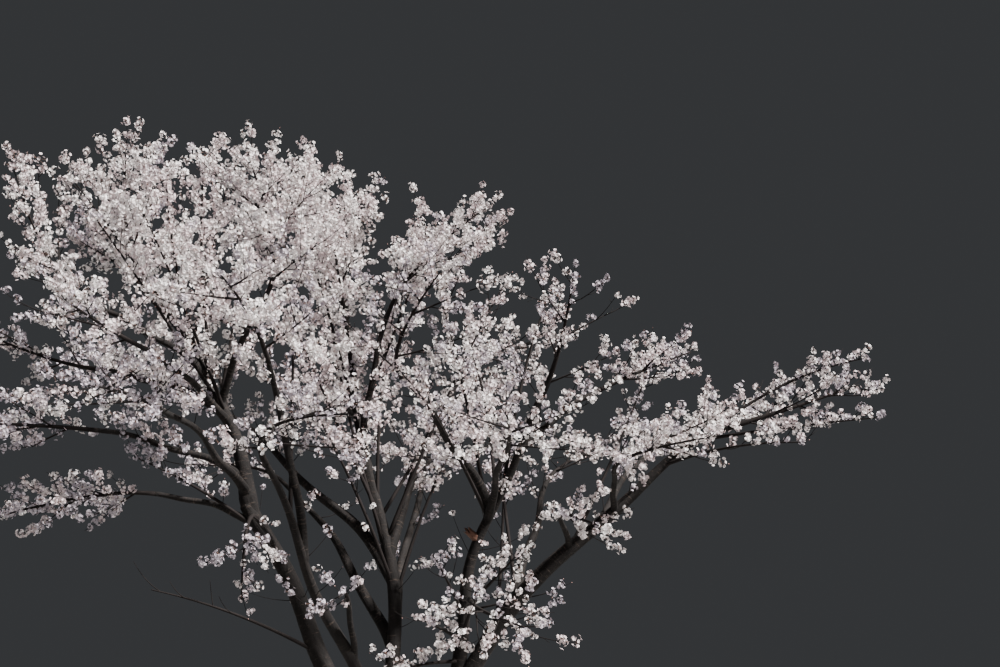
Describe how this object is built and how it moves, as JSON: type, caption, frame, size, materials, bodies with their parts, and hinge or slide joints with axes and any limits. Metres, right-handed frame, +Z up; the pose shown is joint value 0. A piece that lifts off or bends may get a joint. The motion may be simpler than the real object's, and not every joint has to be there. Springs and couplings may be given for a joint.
{
  "type": "white cherry blossom tree",
  "caption": "Rooted flowering cherry with a short forked trunk, spreading stems and loose, nearly level layers of white blossom, higher on one side.",
  "frame": {"origin": "middle of the flat cut under the trunk, at ground level", "axes": "+Z up; +X toward the long low side of the crown, -X toward its high side; -Y toward the viewer"},
  "size_m": [9.7297, 7.675, 7.4758],
  "materials": {
    "bark": "rough dark cherry bark",
    "blossom": "soft matt petals, white with a lilac shade"
  },
  "bodies": {
    "root": {"trunk": "bark", "stem_left": "bark", "stem_right": "bark", "stem_back": "bark", "stem_front": "bark", "stem_middle": "bark", "stem_left_top": "bark", "bough_crown_far_left": "bark", "bough_crown_front": "bark", "bough_crown_right": "bark", "bough_upper_left": "bark", "bough_upper_front_left": "bark", "bough_upper_front": "bark", "bough_upper_front_right": "bark", "bough_upper_right": "bark", "bough_upper_back_right": "bark", "bough_upper_back": "bark", "bough_upper_back_left": "bark", "bough_lower_left": "bark", "bough_lower_front_left": "bark", "bough_lower_front_right": "bark", "bough_lower_right": "bark", "bough_lower_right_back": "bark", "bough_lower_back_right": "bark", "bough_lower_back": "bark", "bough_lower_back_left": "bark", "bough_low_left": "bark", "bough_hanging_left": "bark", "bough_hanging_front": "bark", "bough_hanging_middle": "bark", "bough_hanging_right": "bark", "blossom_crown_left": "blossom", "blossom_crown_back": "blossom", "blossom_crown_right": "blossom", "blossom_crown_far_left": "blossom", "blossom_crown_front": "blossom", "blossom_upper_left": "blossom", "blossom_upper_front_left": "blossom", "blossom_upper_front": "blossom", "blossom_upper_front_right": "blossom", "blossom_upper_middle": "blossom", "blossom_upper_right": "blossom", "blossom_upper_back_right": "blossom", "blossom_upper_back": "blossom", "blossom_upper_back_left": "blossom", "blossom_lower_left": "blossom", "blossom_lower_front_left": "blossom", "blossom_lower_front": "blossom", "blossom_lower_front_right": "blossom", "blossom_lower_right": "blossom", "blossom_lower_far_right": "blossom", "blossom_lower_right_back": "blossom", "blossom_lower_back_right": "blossom", "blossom_lower_back": "blossom", "blossom_lower_back_left": "blossom", "blossom_low_left": "blossom", "blossom_hanging_left": "blossom", "blossom_hanging_front": "blossom", "blossom_hanging_middle": "blossom", "blossom_hanging_right": "blossom"}
  },
  "joints": []
}
